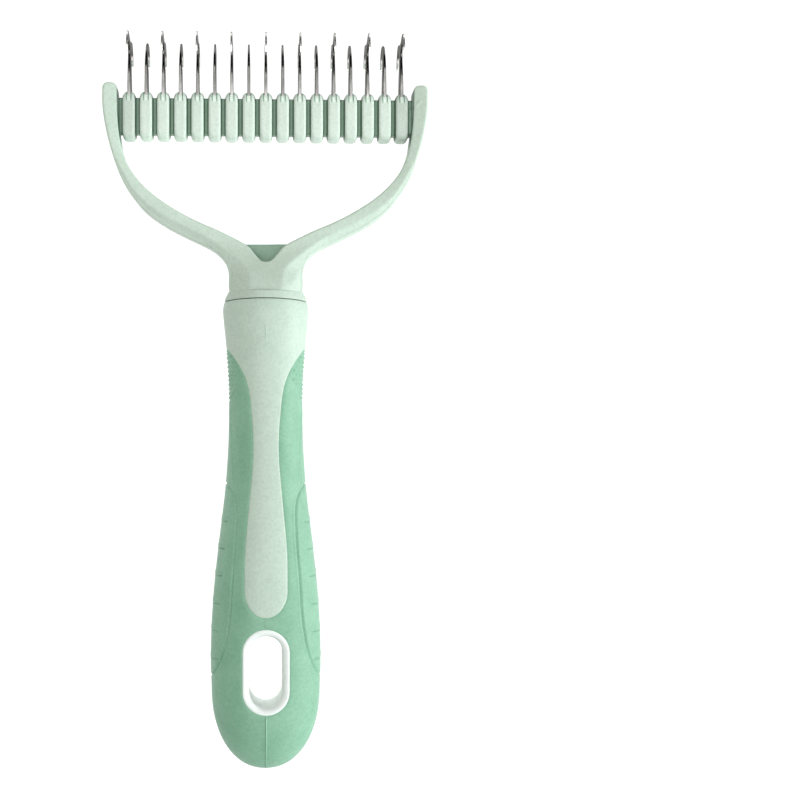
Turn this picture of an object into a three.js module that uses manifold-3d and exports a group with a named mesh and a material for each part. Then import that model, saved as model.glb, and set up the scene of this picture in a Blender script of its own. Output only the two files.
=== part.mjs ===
// A double-sided deshedding rake: a wide fork carries a ribbed comb bar with seventeen hooked
// steel blades, and a hard handle core inside a soft grip cover holds the fork.
// Millimetres. The rake lies on its back: X across the blades, Y from the butt of the handle
// to the blades, Z up through the front face. The origin is under the middle of its box.
import * as THREE from 'three';
import { mergeVertices } from 'three/addons/utils/BufferGeometryUtils.js';
import Module from 'manifold-3d';

const wasm = await Module();
wasm.setup();

// Driving dimensions. Heights "y" are measured from the butt, depths "z" from the middle plane.
const overallLength = 215.4;
const halfDepth = 14.2;
const gap = 0.3;

const handle = {
  top: 137.3,
  buttCentre: 24,
  buttExponent: 2.15,
  sectionExponent: 2.2,
  sides: 24,
  buttRings: 6,
  shaftRings: 12,
  // [y, half width, half depth] from the butt's shoulder up to the collar
  stations: [
    [24, 15.85, 12.1], [31, 16.1, 12.4], [42, 15.9, 13.2], [54, 15.1, 13.95], [66, 13.8, 14.1],
    [84, 11.7, 12.7], [100, 10.8, 11.4], [114, 10.9, 11.1], [126, 11.8, 11.6],
    [134.5, 12.6, 12.1], [137.3, 12.3, 11.9],
  ],
};
const coverThickness = 2.3;
const coverTop = 123.2;

// Where the hard core shows down the middle of the grip, front and back: [half width, y].
const coreWindow = {
  bottom: 45.2,
  bulbCentre: 53,
  bulbHalfWidth: 6.2,
  neck: [[6, 65], [4.9, 78], [3.75, 92], [4.1, 103], [5.8, 114]],
  shoulder: 11.2,
  flare: [16, 127],
  sidePoints: 22,
};

// The hanging slot through the butt, in its hard liner; its mouths are eased by a countersink.
const slot = {
  y: 29.3,
  halfWidth: 4.8,
  halfLength: 10.5,
  wall: 2,
  chamfer: 0.9,
  rimZ: 12.1,
  arcSteps: 10,
};

// The socket that takes the fork's tang, and the coring that runs on below it.
const socket = { halfX: 6.5, halfZ: 5.5, bottom: 94 };
const coring = { halfX: 4.5, halfZ: 4, bottom: 56 };

// The tang tapers towards its end and is held by a snap barb on each side.
const tang = { end: 96, noseLength: 2, noseTaper: 1.8, taper: 0.8 };
const barb = { y: 104, length: 5, height: 0.9, rampStart: 0.6, land: 1, root: 2 };

const bar = {
  y: 191.95,
  innerFace: 43.4,
  ringPitch: 5,
  ringCount: 17,
  ringWidth: 3.8,
  ringHalfY: 6.95,
  ringHalfZ: 5,
  ringCorner: 2,
  ringEdge: 0.6,
  coreHalfY: 5.3,
  coreHalfZ: 2.4,
  coreCorner: 0.8,
  spigotHalfY: 4,
  spigotLength: 2,
};

const rod = { radius: 1.2, halfLength: 44.6, sides: 12 };

// A blade stands on its root; its hooks bend from the shank out over the crown to their tips.
// The curves are cubic: [control, control, end], each as [z, y], for the hook on the +Z side.
const crown = overallLength;
const tip = [halfDepth, 208.9];
const blade = {
  thickness: 0.9,
  rootHalfZ: 3.5,
  rootBottom: 187.2,
  rootTop: 195.4,
  shankHalfZ: 4.5,
  shankBottom: 196.6,
  hookStart: [4.5, 203.5],
  hookInside: [
    [[4.2, 206], [3.1, 207.4], [3.3, 209.3]],
    [[3.5, 211.5], [5.2, 212.4], [7.4, 212.4]],
    [[10.4, 212.4], [12.6, 211.3], tip],
  ],
  hookOutside: [
    [[13.7, 212.8], [12, crown], [8.8, crown]],
    [[5.5, crown], [3, crown - 1.2], [0, crown - 1.2]],
  ],
  // The front of a single blade, from the shank over to the crown of its only hook.
  slopeStart: [4.5, 207.5],
  slope: [
    [[4.4, 211.3], [1, 213.9], [-3.2, 214.9]],
    [[-5, crown - 0.1], [-7, crown], [-8.8, crown]],
  ],
};

const fork = {
  bandBottom: handle.top + gap,
  bandTop: 140.3,
  bandHalfWidth: 12.1,
  bandHalfDepth: 11.8,
  bandDraw: 0.03,
  // Each station runs across one arm: [outer edge, crease, inner edge], each as [x, y].
  stations: [
    [[11.2, 139.9], [4.8, 139.9], [-0.5, 139.9]],
    [[10.9, 142.5], [4.8, 142.5], [-0.5, 142.5]],
    [[10.8, 145], [5.1, 145.4], [-0.5, 145.4]],
    [[11.7, 148.8], [6.6, 147.9], [-0.5, 148.6]],
    [[15.2, 152.4], [10, 150.9], [1.6, 149.4]],
    [[22.5, 156], [15, 154.6], [4.4, 152.8]],
    [[29.2, 159.5], [21.5, 158.2], [12.6, 157.4]],
    [[35, 163.6], [29.3, 162], [21.4, 161.3]],
    [[39, 168.2], [35.3, 166.3], [28.1, 165]],
    [[42, 172.9], [39.2, 170.7], [34, 169.3]],
    [[44, 178], [42.3, 176], [38.5, 174.2]],
    [[45.7, 183.6], [44.8, 182.4], [41.5, 179.9]],
    [[46.9, 189], [46.2, 188.6], [43, 185.5]],
    [[47.6, 194.4], [47.1, 194.4], [43.4, 192]],
    [[47.7, 198.9], [47.3, 198.9], [43.4, 198.9]],
    [[47.5, 200.7], [46.9, 200.7], [43.7, 200.7]],
    [[46.4, 201.2], [46.1, 201.2], [44.6, 201.2]],
  ],
  armHalfDepth: 5.5,
  neckHalfDepth: 9.4,
  neckBlend: [143, 160],
  // The bevel outside the crease drops this far over a run of this length.
  bevelDrop: 2.6,
  bevelRun: 4,
  outerEdge: 0.3,
  innerEdge: 0.5,
};

// The thin web that closes the crotch of the fork.
const web = { halfX: 7, bottom: 147, top: 154.2, halfZ: 1.6 };

// Smooth value at y of a table whose rows start with y; column is the value's place in a row.
function alongStations(stations, y, column) {
  const last = stations.length - 1;
  let i = 0;
  while (i < last - 1 && y > stations[i + 1][0]) i += 1;
  const slopeAt = (k) => {
    const low = stations[Math.max(k - 1, 0)];
    const high = stations[Math.min(k + 1, last)];
    return (high[column] - low[column]) / (high[0] - low[0]);
  };
  const span = stations[i + 1][0] - stations[i][0];
  const t = THREE.MathUtils.clamp((y - stations[i][0]) / span, 0, 1);
  const start = stations[i][column] * (1 + 2 * t) * (1 - t) ** 2;
  const end = stations[i + 1][column] * t * t * (3 - 2 * t);
  const leaving = slopeAt(i) * span * t * (1 - t) ** 2;
  const arriving = slopeAt(i + 1) * span * t * t * (t - 1);
  return start + end + leaving + arriving;
}

function toSolid(geometry) {
  geometry.deleteAttribute('normal');
  geometry.deleteAttribute('uv');
  const merged = mergeVertices(geometry, 1e-4);
  const mesh = new wasm.Mesh({
    numProp: 3,
    vertProperties: new Float32Array(merged.attributes.position.array),
    triVerts: new Uint32Array(merged.index.array),
  });
  return new wasm.Manifold(mesh);
}

function toGeometry(solid) {
  const mesh = solid.getMesh();
  const geometry = new THREE.BufferGeometry();
  geometry.setAttribute('position', new THREE.BufferAttribute(new Float32Array(mesh.vertProperties), 3));
  geometry.setIndex(new THREE.BufferAttribute(new Uint32Array(mesh.triVerts), 1));
  geometry.computeVertexNormals();
  return geometry;
}

// A closed body through rings of points that all have the same count, capped at both ends.
function loft(rings) {
  const count = rings[0].length;
  const points = rings.flat();
  const sumOf = (ring) => ring.reduce((sum, p) => sum.add(p), new THREE.Vector3());
  const centreOf = (ring) => sumOf(ring).divideScalar(count);
  const first = points.push(centreOf(rings[0])) - 1;
  const last = points.push(centreOf(rings[rings.length - 1])) - 1;
  const faces = [];
  for (let r = 0; r < rings.length - 1; r += 1) {
    for (let k = 0; k < count; k += 1) {
      const a = r * count + k;
      const b = r * count + ((k + 1) % count);
      faces.push(a, b, a + count, b, b + count, a + count);
    }
  }
  const top = (rings.length - 1) * count;
  for (let k = 0; k < count; k += 1) {
    const next = (k + 1) % count;
    faces.push(first, next, k);
    faces.push(last, top + k, top + next);
  }
  const geometry = new THREE.BufferGeometry().setFromPoints(points);
  geometry.setIndex(faces);
  return geometry;
}

function box(low, high) {
  const size = high.map((value, k) => value - low[k]);
  const geometry = new THREE.BoxGeometry(...size);
  geometry.translate(...low.map((value, k) => value + size[k] / 2));
  return toSolid(geometry);
}

// A flat outline in X and Y, run through in Z from -halfZ to +halfZ.
function prism(shape, halfZ, curveSegments = 6) {
  const options = { depth: 2 * halfZ, bevelEnabled: false, curveSegments };
  const geometry = new THREE.ExtrudeGeometry(shape, options);
  geometry.translate(0, 0, -halfZ);
  return toSolid(geometry);
}

function roundedRectangle(halfX, halfY, corner) {
  const shape = new THREE.Shape();
  shape.absarc(halfX - corner, halfY - corner, corner, 0, Math.PI / 2);
  shape.absarc(corner - halfX, halfY - corner, corner, Math.PI / 2, Math.PI);
  shape.absarc(corner - halfX, corner - halfY, corner, Math.PI, 1.5 * Math.PI);
  shape.absarc(halfX - corner, corner - halfY, corner, 1.5 * Math.PI, 2 * Math.PI);
  shape.closePath();
  return shape;
}

// The handle's outer shape, drawn in by inset all round.
function handleBody(inset, top = handle.top) {
  const { buttCentre, buttExponent, sectionExponent, stations } = handle;
  const { sides, buttRings, shaftRings } = handle;
  const power = (value, exponent) => Math.sign(value) * Math.abs(value) ** (2 / exponent);
  const section = (y, halfWidth, halfThickness) => {
    const ring = [];
    for (let k = 0; k < sides; k += 1) {
      const angle = (2 * Math.PI * k) / sides;
      const x = halfWidth * power(Math.cos(angle), sectionExponent);
      const z = -halfThickness * power(Math.sin(angle), sectionExponent);
      ring.push(new THREE.Vector3(x, y, z));
    }
    return ring;
  };
  const rings = [];
  const poleOffset = 0.35;
  for (let i = 0; i < buttRings; i += 1) {
    const angle = ((i + poleOffset) / (buttRings + poleOffset)) * (Math.PI / 2);
    const y = buttCentre - (buttCentre - inset) * power(Math.cos(angle), buttExponent);
    const swell = power(Math.sin(angle), buttExponent);
    rings.push(section(y, (stations[0][1] - inset) * swell, (stations[0][2] - inset) * swell));
  }
  for (let i = 0; i <= shaftRings; i += 1) {
    const y = buttCentre + ((top - buttCentre) * i) / shaftRings;
    const halfWidth = alongStations(stations, y, 1) - inset;
    const halfThickness = alongStations(stations, y, 2) - inset;
    rings.push(section(y, halfWidth, halfThickness));
  }
  return toSolid(loft(rings));
}

// The window's outline, grown by margin: a rounded bulb, a waist, then a flare past the sides.
function windowShape(margin) {
  const { bottom, bulbCentre, bulbHalfWidth, neck, shoulder, flare, sidePoints } = coreWindow;
  const side = [new THREE.Vector2(bulbHalfWidth + margin, bulbCentre)];
  for (const [halfWidth, y] of neck) side.push(new THREE.Vector2(halfWidth + margin, y));
  side.push(new THREE.Vector2(shoulder, coverTop - margin));
  side.push(new THREE.Vector2(...flare));
  const right = new THREE.SplineCurve(side).getPoints(sidePoints);
  const left = right.map((p) => new THREE.Vector2(-p.x, p.y)).reverse();
  const shape = new THREE.Shape();
  shape.moveTo(right[0].x, right[0].y);
  for (const p of right) shape.lineTo(p.x, p.y);
  shape.lineTo(flare[0], handle.top + 1);
  shape.lineTo(-flare[0], handle.top + 1);
  for (const p of left) shape.lineTo(p.x, p.y);
  const bulbHeight = bulbCentre - bottom + margin;
  shape.absellipse(0, bulbCentre, bulbHalfWidth + margin, bulbHeight, Math.PI, 2 * Math.PI, false, 0);
  return shape;
}

function slotShape(margin) {
  const radius = slot.halfWidth + margin;
  const straight = slot.halfLength - slot.halfWidth;
  const shape = new THREE.Shape();
  shape.absarc(0, slot.y + straight, radius, 0, Math.PI);
  shape.absarc(0, slot.y - straight, radius, Math.PI, 2 * Math.PI);
  shape.closePath();
  return shape;
}

// The countersink that eases one mouth of the hanging slot; side is +1 in front, -1 behind.
function slotMouth(side) {
  const straight = slot.halfLength - slot.halfWidth;
  const overrun = 0.5;
  const ringAt = (radius, z) => {
    const ring = [];
    for (const end of [1, -1]) {
      for (let k = 0; k <= slot.arcSteps; k += 1) {
        const angle = (Math.PI * k) / slot.arcSteps;
        const x = end * radius * Math.cos(angle);
        const y = slot.y + end * (straight + radius * Math.sin(angle));
        ring.push(new THREE.Vector3(x, y, z));
      }
    }
    return ring;
  };
  const inner = ringAt(slot.halfWidth - overrun, side * (slot.rimZ - slot.chamfer - overrun));
  const outer = ringAt(slot.halfWidth + slot.chamfer + overrun, side * (slot.rimZ + overrun));
  return toSolid(loft(side > 0 ? [inner, outer] : [outer, inner]));
}

function makeGripCore() {
  const shown = handleBody(0).intersect(prism(windowShape(0), halfDepth + 1));
  const buried = handleBody(coverThickness);
  const liner = prism(slotShape(slot.wall), slot.rimZ, slot.arcSteps);
  const hole = prism(slotShape(0), halfDepth + 1, slot.arcSteps);
  const fit = box(
    [-socket.halfX, socket.bottom, -socket.halfZ],
    [socket.halfX, handle.top + 1, socket.halfZ],
  );
  const hollow = box(
    [-coring.halfX, coring.bottom, -coring.halfZ],
    [coring.halfX, socket.bottom + 1, coring.halfZ],
  );
  const catchDepth = socket.halfX + barb.height + gap;
  const catches = box(
    [-catchDepth, barb.y - gap, -barb.length / 2 - gap],
    [catchDepth, barb.y + barb.length + gap, barb.length / 2 + gap],
  );
  const body = buried.add(shown).add(liner);
  return body.subtract(hole).subtract(slotMouth(1)).subtract(slotMouth(-1))
    .subtract(fit).subtract(hollow).subtract(catches);
}

function makeGripCover() {
  const past = 3;
  const inside = handleBody(coverThickness - gap);
  const shell = handleBody(0, coverTop + past).subtract(inside);
  return shell.subtract(prism(windowShape(gap), halfDepth + 1))
    .subtract(prism(slotShape(slot.wall + gap), halfDepth + 1, slot.arcSteps));
}

// One arm of the fork with its half of the neck, on the +X side.
function forkHalf() {
  const { stations, armHalfDepth, neckHalfDepth, neckBlend, bevelDrop, bevelRun } = fork;
  const [blendStart, blendEnd] = neckBlend;
  const depthAt = (y) => {
    const t = THREE.MathUtils.smoothstep(y, blendStart, blendEnd);
    return THREE.MathUtils.lerp(neckHalfDepth, armHalfDepth, t);
  };
  const curveOf = (column) => {
    const points = stations.map((row) => new THREE.Vector3(...row[column], 0));
    return new THREE.CatmullRomCurve3(points, false, 'centripetal');
  };
  const [outer, crease, inner] = [0, 1, 2].map(curveOf);
  const at = (p, z) => new THREE.Vector3(p.x, p.y, z);
  const steps = 2 * (stations.length - 1);
  const rings = [];
  for (let i = 0; i <= steps; i += 1) {
    const [out, fold, edge] = [outer, crease, inner].map((curve) => curve.getPoint(i / steps));
    const front = depthAt(fold.y);
    const share = Math.min(out.distanceTo(fold) / bevelRun, 1);
    const side = front - bevelDrop * share - fork.outerEdge;
    const easing = Math.min(fork.innerEdge / edge.distanceTo(fold), 0.3);
    const eased = edge.clone().lerp(fold, easing);
    const innerZ = front - fork.innerEdge;
    rings.push([
      at(edge, innerZ), at(eased, front), at(fold, front), at(out, side),
      at(out, -side), at(fold, -front), at(eased, -front), at(edge, -innerZ),
    ]);
  }
  return toSolid(loft(rings));
}

function makeBand() {
  const { bandBottom, bandTop, bandHalfWidth, bandHalfDepth, bandDraw } = fork;
  const height = bandTop - bandBottom;
  const geometry = new THREE.CylinderGeometry(1 - bandDraw, 1, height, handle.sides);
  geometry.scale(bandHalfWidth, 1, bandHalfDepth);
  geometry.translate(0, (bandTop + bandBottom) / 2, 0);
  return toSolid(geometry);
}

// The tang that plugs into the handle, with a snap barb on each side.
function makeTang() {
  const halfX = socket.halfX - gap;
  const halfZ = socket.halfZ - gap;
  const corners = [[1, 1], [1, -1], [-1, -1], [-1, 1]];
  const ringAt = (y, draw) => corners.map(([x, z]) => (
    new THREE.Vector3(x * (halfX - draw), y, z * (halfZ - draw))
  ));
  const stem = toSolid(loft([
    ringAt(tang.end, tang.noseTaper),
    ringAt(tang.end + tang.noseLength, tang.taper),
    ringAt(fork.bandTop - 1, 0),
  ]));
  const peak = socket.halfX + barb.height - gap;
  const top = barb.y + barb.length;
  const section = new THREE.Shape();
  section.moveTo(halfX - barb.root, barb.y);
  section.lineTo(halfX - barb.rampStart, barb.y);
  section.lineTo(peak, top - barb.land);
  section.lineTo(peak, top - gap);
  section.lineTo(halfX - barb.root, top - gap);
  const right = prism(section, barb.length / 2 - gap);
  return stem.add(right).add(right.mirror([1, 0, 0]));
}

function makeYoke() {
  const right = forkHalf();
  const crotch = box([-web.halfX, web.bottom, -web.halfZ], [web.halfX, web.top, web.halfZ]);
  const bay = box(
    [-bar.innerFace, bar.y - bar.coreHalfY - gap, -fork.neckHalfDepth],
    [bar.innerFace, overallLength, fork.neckHalfDepth],
  );
  const seatHalfY = bar.spigotHalfY + gap;
  const seatEnd = bar.innerFace + bar.spigotLength;
  const seats = box(
    [-seatEnd, bar.y - seatHalfY, -bar.coreHalfZ - gap],
    [seatEnd, bar.y + seatHalfY, bar.coreHalfZ + gap],
  );
  return right.add(right.mirror([1, 0, 0])).add(crotch).add(makeBand()).add(makeTang())
    .subtract(bay).subtract(seats);
}

function ringPlaces() {
  const middle = (bar.ringCount - 1) / 2;
  return Array.from({ length: bar.ringCount }, (_, k) => (k - middle) * bar.ringPitch);
}

// A section drawn as Z across and Y up, run along X between two places; edge chamfers its ends.
function alongX(shape, from, to, curveSegments, edge = 0) {
  const geometry = new THREE.ExtrudeGeometry(shape, {
    depth: to - from - 2 * edge,
    curveSegments,
    bevelEnabled: edge > 0,
    bevelSegments: 1,
    bevelSize: edge,
    bevelThickness: edge,
    bevelOffset: -edge,
  });
  geometry.translate(0, 0, -(to - from) / 2 + edge);
  geometry.rotateY(-Math.PI / 2);
  geometry.translate((from + to) / 2, 0, 0);
  return geometry;
}

function makeCombBar() {
  const end = bar.innerFace - gap;
  const coreShape = roundedRectangle(bar.coreHalfZ, bar.coreHalfY, bar.coreCorner);
  const core = alongX(coreShape, -end, end, 1);
  core.translate(0, bar.y, 0);
  const spigotEnd = end + bar.spigotLength;
  const spigots = box(
    [-spigotEnd, bar.y - bar.spigotHalfY, -bar.coreHalfZ],
    [spigotEnd, bar.y + bar.spigotHalfY, bar.coreHalfZ],
  );
  let solid = toSolid(core).add(spigots);
  const ringShape = roundedRectangle(bar.ringHalfZ, bar.ringHalfY, bar.ringCorner);
  for (const x of ringPlaces()) {
    const half = bar.ringWidth / 2;
    const ring = alongX(ringShape, x - half, x + half, 1, bar.ringEdge);
    ring.translate(0, bar.y, 0);
    solid = solid.add(toSolid(ring));
  }
  const halfSlit = blade.thickness / 2 + gap;
  for (const x of ringPlaces()) {
    const pocket = box(
      [x - halfSlit, blade.rootBottom - gap, -blade.rootHalfZ - gap],
      [x + halfSlit, bar.y + bar.ringHalfY + 1, blade.rootHalfZ + gap],
    );
    const mouth = box(
      [x - halfSlit, blade.rootTop - gap, -bar.ringHalfZ - 1],
      [x + halfSlit, bar.y + bar.ringHalfY + 1, bar.ringHalfZ + 1],
    );
    solid = solid.subtract(pocket).subtract(mouth);
  }
  return solid.subtract(toSolid(rodGeometry(rod.radius + gap, spigotEnd + 1)));
}

function rodGeometry(radius, halfLength) {
  const geometry = new THREE.CylinderGeometry(radius, radius, 2 * halfLength, rod.sides);
  geometry.rotateZ(Math.PI / 2);
  geometry.translate(0, bar.y, 0);
  return geometry;
}

// Runs a shape on through cubic curves; side mirrors them in Z.
function curveOn(shape, curves, side) {
  for (const curve of curves) {
    const [first, second, end] = curve.map(([z, y]) => [side * z, y]);
    shape.bezierCurveTo(...first, ...second, ...end);
  }
}

// The same curves from their end back to their start.
function backwards(start, curves) {
  const starts = [start, ...curves.map((curve) => curve[2])];
  return curves.map(([first, second], k) => [second, first, starts[k]]).reverse();
}

function makeBladeShape(isDouble) {
  const { rootHalfZ, rootBottom, rootTop, shankHalfZ, shankBottom } = blade;
  const { hookStart, hookInside, hookOutside, slopeStart, slope } = blade;
  const shape = new THREE.Shape();
  shape.moveTo(-rootHalfZ, rootBottom);
  shape.lineTo(rootHalfZ, rootBottom);
  shape.lineTo(rootHalfZ, rootTop);
  shape.lineTo(shankHalfZ, shankBottom);
  if (isDouble) {
    shape.lineTo(...hookStart);
    curveOn(shape, hookInside, 1);
    curveOn(shape, hookOutside, 1);
    curveOn(shape, backwards(tip, hookOutside), -1);
  } else {
    shape.lineTo(...slopeStart);
    curveOn(shape, slope, 1);
    curveOn(shape, backwards(tip, hookOutside.slice(0, 1)), -1);
  }
  curveOn(shape, backwards(hookStart, hookInside), -1);
  shape.lineTo(-shankHalfZ, shankBottom);
  shape.lineTo(-rootHalfZ, rootTop);
  shape.closePath();
  const eye = new THREE.Path();
  eye.absarc(0, bar.y, rod.radius + gap, 0, 2 * Math.PI, true);
  shape.holes.push(eye);
  return shape;
}

const palePlastic = { color: 0xb9ccb9, roughness: 0.62, metalness: 0 };
const softGreen = { color: 0x7fb898, roughness: 0.7, metalness: 0 };
const steel = { color: 0xb8b8b4, roughness: 0.25, metalness: 1 };

const rake = new THREE.Group();
const body = new THREE.Group();
body.position.set(0, -overallLength / 2, halfDepth);
rake.add(body);

function addPiece(name, geometry, look) {
  const mesh = new THREE.Mesh(geometry, new THREE.MeshStandardMaterial(look));
  mesh.name = name;
  body.add(mesh);
  return mesh;
}

addPiece('grip_core', toGeometry(makeGripCore()), palePlastic);
addPiece('grip_cover', toGeometry(makeGripCover()), softGreen);
addPiece('yoke', toGeometry(makeYoke()), palePlastic);
addPiece('comb_bar', toGeometry(makeCombBar()), palePlastic);
addPiece('blade_rod', rodGeometry(rod.radius, rod.halfLength), steel);

// Double-hooked and single-hooked blades take turns along the bar.
const bladeShapes = { double: makeBladeShape(true), single: makeBladeShape(false) };
ringPlaces().forEach((x, k) => {
  const kind = k % 2 === 0 ? 'double' : 'single';
  const half = blade.thickness / 2;
  const geometry = alongX(bladeShapes[kind], -half, half, 3);
  const mesh = addPiece(`${kind}_hook_blade_${Math.floor(k / 2) + 1}`, geometry, steel);
  mesh.position.x = x;
});

export default rake;
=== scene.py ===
"""The looks of the double-sided deshedding rake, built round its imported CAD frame.

The rake lies on its back: X across the blades, Y from the butt of the handle to the blades, Z up
through the front face. Shapes are drawn in millimetres, with y measured from the butt and z from
the middle plane between front and back, and build() puts them in the frame.

A sheet is a pair (data, faces). A row of data is a point and the direction in which it is thickened
or rimmed: x, y, z, nx, ny, nz. A row of faces holds four corners, and a triangle repeats its last.
"""
import math

import bmesh
import bpy
import numpy as np
from mathutils import Matrix, Vector


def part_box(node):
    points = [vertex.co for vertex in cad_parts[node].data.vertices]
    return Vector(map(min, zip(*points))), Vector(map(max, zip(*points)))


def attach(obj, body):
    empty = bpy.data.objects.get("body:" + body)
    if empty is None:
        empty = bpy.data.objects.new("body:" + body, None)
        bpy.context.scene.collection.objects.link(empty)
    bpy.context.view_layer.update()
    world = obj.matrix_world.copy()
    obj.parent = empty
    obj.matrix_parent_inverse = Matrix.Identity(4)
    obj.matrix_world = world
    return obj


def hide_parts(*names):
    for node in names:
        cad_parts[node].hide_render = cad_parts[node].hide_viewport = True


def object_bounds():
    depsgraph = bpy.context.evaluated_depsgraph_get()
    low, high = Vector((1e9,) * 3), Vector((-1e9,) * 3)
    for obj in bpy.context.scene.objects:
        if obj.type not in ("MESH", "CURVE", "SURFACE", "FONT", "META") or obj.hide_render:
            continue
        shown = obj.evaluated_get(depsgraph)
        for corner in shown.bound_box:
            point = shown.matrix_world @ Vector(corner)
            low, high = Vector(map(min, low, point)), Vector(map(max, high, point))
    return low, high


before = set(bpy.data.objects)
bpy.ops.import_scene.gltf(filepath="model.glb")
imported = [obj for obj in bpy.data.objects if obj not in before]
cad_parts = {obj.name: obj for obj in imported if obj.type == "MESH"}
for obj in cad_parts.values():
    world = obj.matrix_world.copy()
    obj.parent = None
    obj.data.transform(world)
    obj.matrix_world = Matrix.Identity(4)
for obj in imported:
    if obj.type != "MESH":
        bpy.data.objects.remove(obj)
cad_low, cad_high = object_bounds()

MM = 0.001

# What the frame gives: the butt, the middle plane, the seam, the comb bar and the blades' reach.
BUTT_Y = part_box("grip_cover")[0].y
MIDDLE_Z = (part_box("yoke")[0].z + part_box("yoke")[1].z) / 2


def from_butt(y):
    """A frame height as millimetres from the butt."""
    return (y - BUTT_Y) / MM


SEAM = from_butt(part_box("grip_core")[1].y)
CROWN = from_butt(cad_high.y)
BAR_LOW, BAR_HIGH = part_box("comb_bar")
BAR_Y = from_butt((BAR_LOW.y + BAR_HIGH.y) / 2)
RING_HALF_Y = (BAR_HIGH.y - BAR_LOW.y) / 2 / MM
RING_HALF_Z = (BAR_HIGH.z - BAR_LOW.z) / 2 / MM
BLADES = sorted(
    ((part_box(n)[0].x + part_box(n)[1].x) / 2 / MM, n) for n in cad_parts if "hook_blade" in n
)
BLADE_HALF_X = (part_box(BLADES[0][1])[1].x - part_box(BLADES[0][1])[0].x) / 2 / MM
TIP_Z = (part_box(BLADES[0][1])[1].z - MIDDLE_Z) / MM

# The handle's stations, [y, half width, half depth], and the curves of its ends and sections.
STATIONS = np.array([
    [24, 15.85, 12.1], [31, 16.1, 12.4], [42, 15.9, 13.2], [54, 15.1, 13.95], [66, 13.8, 14.1],
    [84, 11.7, 12.7], [100, 10.8, 11.4], [114, 10.9, 11.1], [126, 11.8, 11.6],
    [134.5, 12.6, 12.1], [SEAM, 12.3, 11.9],
])
BUTT_CENTRE = 24.0
BUTT_EXPONENT = 2.15
SECTION_EXPONENT = 2.2

# The hard window: its right side as [half width, y], over a half ellipse.
WINDOW_SIDE = [[6.25, 53], [6.05, 65], [4.9, 78], [3.75, 92], [4.1, 103], [5.8, 114],
               [11.2, 123.2], [16, 127]]
WINDOW_BOTTOM = 45.2

# The hanging slot in the butt and the hard liner round it.
SLOT_Y = 29.3
SLOT_HALF_WIDTH = 4.8
SLOT_STRAIGHT = 5.7
LINER = 1.9


# ------------------------------------------------------------------ curves and distances

def seam_lift(x):
    """How far the seam between collar and yoke arches up over the front and back."""
    return 0.6 * (1 - np.clip(x / 12.3, -1, 1) ** 2) - 0.05


def along_stations(y, column):
    """Smooth half width or half depth of the handle at y."""
    ys, values = STATIONS[:, 0], STATIONS[:, column]
    slopes = np.empty_like(values)
    slopes[1:-1] = (values[2:] - values[:-2]) / (ys[2:] - ys[:-2])
    slopes[0] = (values[1] - values[0]) / (ys[1] - ys[0])
    slopes[-1] = (values[-1] - values[-2]) / (ys[-1] - ys[-2])
    i = np.clip(np.searchsorted(ys, y) - 1, 0, len(ys) - 2)
    span = ys[i + 1] - ys[i]
    t = np.clip((y - ys[i]) / span, 0, 1)
    ends = values[i] * (1 + 2 * t) * (1 - t) ** 2 + values[i + 1] * t * t * (3 - 2 * t)
    return ends + span * t * (1 - t) * (slopes[i] * (1 - t) - slopes[i + 1] * t)


def spline(points, per_span=10):
    """A Catmull-Rom curve through the points."""
    p = np.array(points, float)
    p = np.vstack([2 * p[0] - p[1], p, 2 * p[-1] - p[-2]])
    t = np.linspace(0, 1, per_span, endpoint=False)[:, None]
    spans = [
        0.5 * (2 * b + (c - a) * t + (2 * a - 5 * b + 4 * c - d) * t ** 2 + (3 * b - a - 3 * c + d) * t ** 3)
        for a, b, c, d in zip(p, p[1:], p[2:], p[3:])
    ]
    return np.vstack(spans + [p[-2:-1]])


def bezier(start, a, b, end, steps=14):
    """A cubic curve without its first point."""
    t = np.linspace(0, 1, steps + 1)[1:, None]
    start, a, b, end = (np.array(p, float) for p in (start, a, b, end))
    return start * (1 - t) ** 3 + 3 * a * t * (1 - t) ** 2 + 3 * b * t * t * (1 - t) + end * t ** 3


def fade(value, start, end):
    """0 at start, 1 at end, smooth between."""
    t = np.clip((value - start) / (end - start), 0, 1)
    return t * t * (3 - 2 * t)


def power(value, exponent):
    return np.sign(value) * np.abs(value) ** (2 / exponent)


def to_line(points, line):
    """Distance of flat points to an open line, positive on its right-hand side."""
    nearest = np.full(len(points), np.inf)
    side = np.ones(len(points))
    for start, end in zip(line, line[1:]):
        edge, from_start = end - start, points - start
        t = np.clip(from_start @ edge / (edge @ edge), 0, 1)
        apart = from_start - t[:, None] * edge
        distance = np.hypot(apart[:, 0], apart[:, 1])
        closer = distance < nearest
        nearest = np.where(closer, distance, nearest)
        turn = from_start[:, 0] * edge[1] - from_start[:, 1] * edge[0]
        side = np.where(closer, np.where(turn < 0, -1.0, 1.0), side)
    return nearest * side


def inside(points, outline):
    """Distance of flat points to a closed outline, positive inside it."""
    loop = np.vstack([outline, outline[:1]])
    within = np.zeros(len(points), bool)
    for (x0, y0), (x1, y1) in zip(loop, loop[1:]):
        if y0 == y1:
            continue
        level = (y0 > points[:, 1]) != (y1 > points[:, 1])
        within ^= level & (points[:, 0] < x0 + (points[:, 1] - y0) * (x1 - x0) / (y1 - y0))
    return np.abs(to_line(points, loop)) * np.where(within, 1, -1)


# ------------------------------------------------------------------ sheets

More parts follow.
